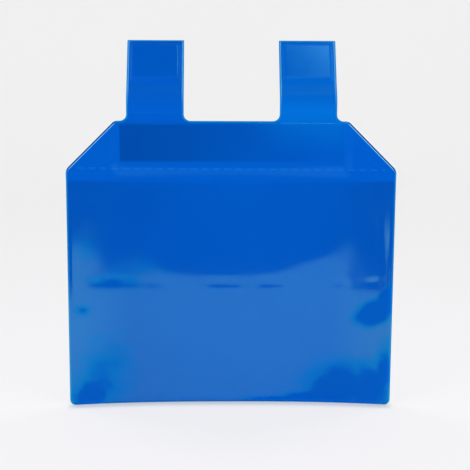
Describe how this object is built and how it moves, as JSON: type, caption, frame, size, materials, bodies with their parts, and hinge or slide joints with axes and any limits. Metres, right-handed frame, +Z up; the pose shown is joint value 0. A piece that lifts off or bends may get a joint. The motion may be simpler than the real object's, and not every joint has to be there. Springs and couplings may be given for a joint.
{
  "type": "magnetic display pocket",
  "caption": "Landscape pocket of blue PVC with a clear front film, a magnet strip in its header and magnet straps that fold back over a wire.",
  "frame": {"origin": "on the header's flat rear face, behind the centre of its magnet", "axes": "+Z up towards the straps, -Y out of the clear film towards the reader, +X to the reader's right"},
  "size_m": [0.32, 0.0461, 0.3588],
  "materials": {
    "blue_pvc": "satin",
    "clear_film": "gloss",
    "magnet": "matte"
  },
  "bodies": {
    "pocket": {"back_skin": "blue_pvc", "header_front_skin": "blue_pvc", "window_film": "clear_film", "header_magnet": "magnet"},
    "left_bend_1": {"left_strap_bend_1_back": "blue_pvc", "left_strap_bend_1_front": "blue_pvc"},
    "left_bend_2": {"left_strap_bend_2_back": "blue_pvc", "left_strap_bend_2_front": "blue_pvc"},
    "left_bend_3": {"left_strap_bend_3_back": "blue_pvc", "left_strap_bend_3_front": "blue_pvc"},
    "left_pad": {"left_strap_pad_back": "blue_pvc", "left_strap_pad_front": "blue_pvc", "left_strap_magnet": "magnet"},
    "right_bend_1": {"right_strap_bend_1_back": "blue_pvc", "right_strap_bend_1_front": "blue_pvc"},
    "right_bend_2": {"right_strap_bend_2_back": "blue_pvc", "right_strap_bend_2_front": "blue_pvc"},
    "right_bend_3": {"right_strap_bend_3_back": "blue_pvc", "right_strap_bend_3_front": "blue_pvc"},
    "right_pad": {"right_strap_pad_back": "blue_pvc", "right_strap_pad_front": "blue_pvc", "right_strap_magnet": "magnet"}
  },
  "joints": [
    {"name": "left_strap_fold", "type": "hinge", "parent": "pocket", "child": "left_bend_1", "pos_m": [-0.0735, -0.00055, 0.0355], "axis": [-1, 0, 0], "range_deg": [-12.44, 57.56], "stiffness_Nm_per_rad": 0.012, "springref_deg": -7.22},
    {"name": "left_bend_2_hinge", "type": "hinge", "parent": "left_bend_1", "child": "left_bend_2", "pos_m": [-0.0735, 0.00066, 0.04097], "axis": [-1, 0, 0], "range_deg": [-12.45, 57.57], "stiffness_Nm_per_rad": 0.012, "springref_deg": -7.22},
    {"name": "left_bend_3_hinge", "type": "hinge", "parent": "left_bend_2", "child": "left_bend_3", "pos_m": [-0.0735, 0.00301, 0.04605], "axis": [-1, 0, 0], "range_deg": [-12.45, 57.57], "stiffness_Nm_per_rad": 0.012, "springref_deg": -7.22},
    {"name": "left_pad_hinge", "type": "hinge", "parent": "left_bend_3", "child": "left_pad", "pos_m": [-0.0735, 0.01185, 0.05764], "axis": [-1, 0, 0], "range_deg": [-24.68, 5.34], "stiffness_Nm_per_rad": 0.012, "springref_deg": 3.09},
    {"name": "right_strap_fold", "type": "hinge", "parent": "pocket", "child": "right_bend_1", "pos_m": [0.0735, -0.00055, 0.0355], "axis": [-1, 0, 0], "range_deg": [-12.44, 57.56], "stiffness_Nm_per_rad": 0.012, "springref_deg": -7.22},
    {"name": "right_bend_2_hinge", "type": "hinge", "parent": "right_bend_1", "child": "right_bend_2", "pos_m": [0.0735, 0.00066, 0.04097], "axis": [-1, 0, 0], "range_deg": [-12.45, 57.57], "stiffness_Nm_per_rad": 0.012, "springref_deg": -7.22},
    {"name": "right_bend_3_hinge", "type": "hinge", "parent": "right_bend_2", "child": "right_bend_3", "pos_m": [0.0735, 0.00301, 0.04605], "axis": [-1, 0, 0], "range_deg": [-12.45, 57.57], "stiffness_Nm_per_rad": 0.012, "springref_deg": -7.22},
    {"name": "right_pad_hinge", "type": "hinge", "parent": "right_bend_3", "child": "right_pad", "pos_m": [0.0735, 0.01185, 0.05764], "axis": [-1, 0, 0], "range_deg": [-24.68, 5.34], "stiffness_Nm_per_rad": 0.012, "springref_deg": 3.09}
  ],
  "couplings": [
    {"joint": "left_bend_2_hinge", "follows": "left_strap_fold", "ratio": 1},
    {"joint": "left_bend_3_hinge", "follows": "left_strap_fold", "ratio": 1},
    {"joint": "left_pad_hinge", "follows": "left_strap_fold", "ratio": -0.42857},
    {"joint": "right_bend_2_hinge", "follows": "right_strap_fold", "ratio": 1},
    {"joint": "right_bend_3_hinge", "follows": "right_strap_fold", "ratio": 1},
    {"joint": "right_pad_hinge", "follows": "right_strap_fold", "ratio": -0.42857}
  ]
}
